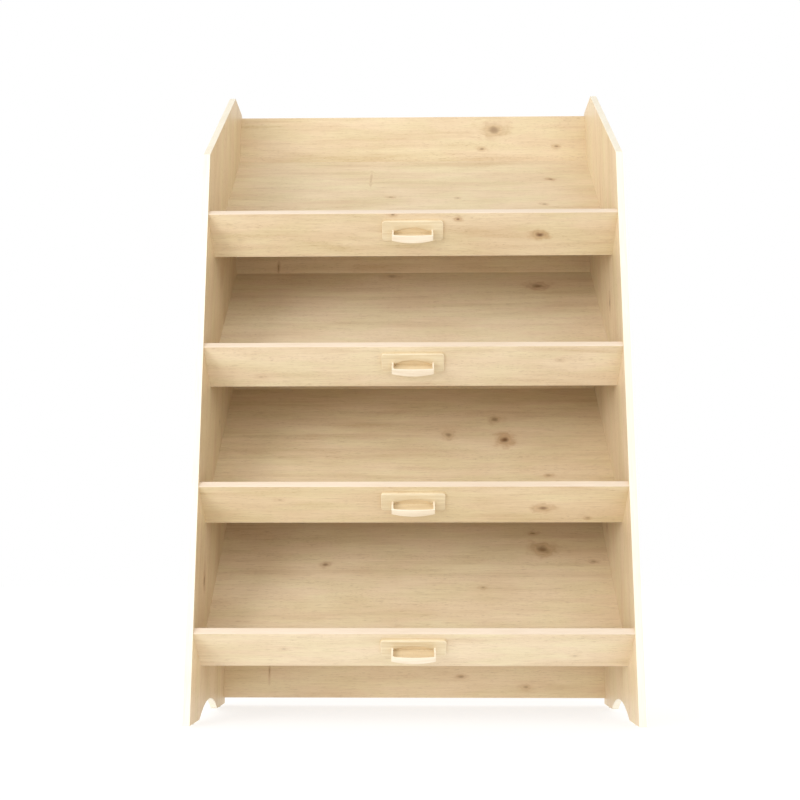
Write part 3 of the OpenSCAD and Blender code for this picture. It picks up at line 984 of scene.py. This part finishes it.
def moulded_disc_tree():
    """A round disc with its outer edge softened and a shallow dimple in the middle of its face."""
    tree, given, result = new_shape_tree("Moulded discs", cap_sizes)
    disc = round_disc(tree, given["Diameter"], DISC_SIDES)
    mesh, end = grown(tree, disc, None, maths(tree, "SUBTRACT", given["Height"], given["Round"]))
    share = maths(tree, "DIVIDE", maths(tree, "MULTIPLY", given["Round"], 2.0), given["Diameter"])
    face_ratio = maths(tree, "SUBTRACT", 1.0, share)
    shoulder = maths(tree, "SUBTRACT", 1.0, maths(tree, "MULTIPLY", share, shoulder_share))
    rise = maths(tree, "MULTIPLY", given["Round"], 1 - shoulder_share)
    mesh, end = grown(tree, mesh, end, rise, shoulder)
    crown = maths(tree, "DIVIDE", face_ratio, shoulder)
    mesh, end = grown(tree, mesh, end, maths(tree, "MULTIPLY", given["Round"], shoulder_share), crown)
    face = maths(tree, "MULTIPLY", given["Diameter"], face_ratio)
    rim = maths(tree, "DIVIDE", given["Dimple diameter"], face)
    mesh, end = grown(tree, mesh, end, 0.0, rim)
    mesh, end = grown(tree, mesh, end, maths(tree, "MULTIPLY", given["Dimple depth"], -1.0), dimple_ratio)
    return closed_and_placed(tree, given, result, disc, mesh)


def moulded_plastic(name, colour, worn_colour):
    """Matt moulded plastic: fine grained skin, slightly uneven colour, rubbed a little paler."""
    material, tree, shader, where = new_material(name, 0.45)
    wear = noise(tree, where, 160.0, 4.0)
    tint = mix_colour(tree, map_range(tree, wear, 0.42, 0.7), colour, worn_colour)
    tree.links.new(tint, shader.inputs["Base Color"])
    tree.links.new(map_range(tree, wear, 0.3, 0.7, 0.58, 0.42), shader.inputs["Roughness"])
    add_relief(tree, shader, noise(tree, where, 1800.0, 2.0), 0.2, 0.0001)
    return material


moulded_disc = moulded_disc_tree()
cap_plastic = moulded_plastic("cap plastic", srgb(204, 172, 124), srgb(220, 192, 148))
for side, outward in (("left", -1), ("right", 1)):
    finish_node(side + "_assembly_screws", zinc)
    low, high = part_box(side + "_side_panel")
    face_x = high.x if outward > 0 else low.x
    places = [(face_x, centre.y, centre.z) for centre in part_centres(side + "_screw_caps")]
    turn = (0.0, outward * math.pi / 2, 0.0)
    caps = placed_copies(side + "_cap_set", moulded_disc, places, turn, cap_sizes, "cap_plastic", cap_plastic)
    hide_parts(side + "_screw_caps")

# Dowels
# Fluted beech dowels, glued between the side panels and the boards' ends and between each lip and its
# shelf. They are inside the boards, so only their finish is set here.


def dowel_wood(name, turn):
    """Unfinished beech: warm pale brown with short fine flecks along the dowel."""
    material, tree, shader, where = new_material(name, 0.3)
    spot = add_node(tree, "SeparateXYZ", {0: own_space(tree, where, turn)}).outputs
    grain = stretched_noise(tree, spot["X"], spot["Y"], spot["Z"], (0.01, 0.0006), 3.0)
    tint = mix_colour(tree, map_range(tree, grain, 0.35, 0.7), srgb(214, 180, 134), srgb(184, 144, 98))
    tree.links.new(tint, shader.inputs["Base Color"])
    tree.links.new(map_range(tree, grain, 0.3, 0.7, 0.6, 0.75), shader.inputs["Roughness"])
    add_relief(tree, shader, grain, 0.3, 0.0002)
    return material


finish_node("end_dowels", dowel_wood("end dowel beech", (0.0, 0.0, 0.0)))
finish_node("lip_dowels", dowel_wood("lip dowel beech", (shelf_slope, 0.0, math.pi / 2)))

# Foot glides
# A round nylon glide nailed under each of the four feet. It keeps the edging off the floor, and its nail
# head sits in a dimple.
glide_sizes = {
    "Diameter": 0.014,
    "Height": 0.003,
    "Round": 0.0009,
    "Dimple diameter": 0.0055,
    "Dimple depth": 0.0008,
}
glide_turn = (math.pi, 0.0, 0.0)
glide_nylon = moulded_plastic("glide nylon", srgb(228, 224, 212), srgb(206, 200, 186))
places = [(centre.x, centre.y, glide_sizes["Height"]) for centre in part_centres("foot_glides")]
glides = placed_copies(
    "glide_set", moulded_disc, places, glide_turn, glide_sizes, "glide_plastic", glide_nylon
)
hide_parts("foot_glides")

# Floor, light and camera
# A plain white floor that runs out of sight, a white surround that is dimmer overhead and brighter in front
# and on the left, one soft lamp in front to the left, and the camera low in front, tilted up.
floor_reach = 30.0
floor_glow = 0.74
white = (1.0, 1.0, 1.0, 1.0)
lamp_place = Vector((-2.2, -2.6, 0.85))
lamp_aim = Vector((0.0, 0.0, 0.7))
lamp_w = 1.2
lamp_h = 1.6
lamp_power = 26.0
camera_lens = 44.55
camera_sensor = 36.0
camera_place = (0.0058, -2.422, 0.319)
camera_tilt = 100.18
camera_pan = 0.91

bm = bmesh.new()
bmesh.ops.create_grid(bm, x_segments=1, y_segments=1, size=floor_reach)
floor = scene_object("floor", drawn_mesh("floor", bm))
paint, tree, shader, where = new_material("floor paint", 0.0)
shader.inputs["Base Color"].default_value = srgb(160, 160, 160)
shader.inputs["Roughness"].default_value = 1.0
shader.inputs["Emission Color"].default_value = white
shader.inputs["Emission Strength"].default_value = floor_glow
floor.data.materials.append(paint)

world = bpy.data.worlds.new("studio")
bpy.context.scene.world = world
world.use_nodes = True
surround = world.node_tree
where = add_node(surround, "TexCoord").outputs["Generated"]
direction = add_node(surround, "SeparateXYZ", {0: where}).outputs
overhead = map_range(surround, direction["Z"], 0.55, 0.95, 1.0, 0.45)
in_front = map_range(surround, direction["Y"], 0.0, -0.8, 1.0, 1.3)
from_left = map_range(surround, direction["X"], -0.42, -0.95, 1.0, 1.4)
strength = maths(surround, "MULTIPLY", maths(surround, "MULTIPLY", overhead, in_front), from_left)
surround.links.new(strength, surround.nodes["Background"].inputs["Strength"])
surround.nodes["Background"].inputs["Color"].default_value = white

lamp = bpy.data.lights.new("front lamp", "AREA")
lamp.shape = "RECTANGLE"
lamp.size = lamp_w
lamp.size_y = lamp_h
lamp.energy = lamp_power
lamp_holder = scene_object("front lamp", lamp)
lamp_holder.location = lamp_place
lamp_holder.rotation_euler = (lamp_aim - lamp_place).to_track_quat("-Z", "Y").to_euler()

camera = bpy.data.cameras.new("camera")
camera.lens = camera_lens
camera.sensor_width = camera_sensor
camera_holder = scene_object("camera", camera)
camera_holder.location = camera_place
camera_holder.rotation_euler = (math.radians(camera_tilt), 0.0, math.radians(camera_pan))
bpy.context.scene.camera = camera_holder
bpy.context.scene.view_settings.view_transform = "Standard"
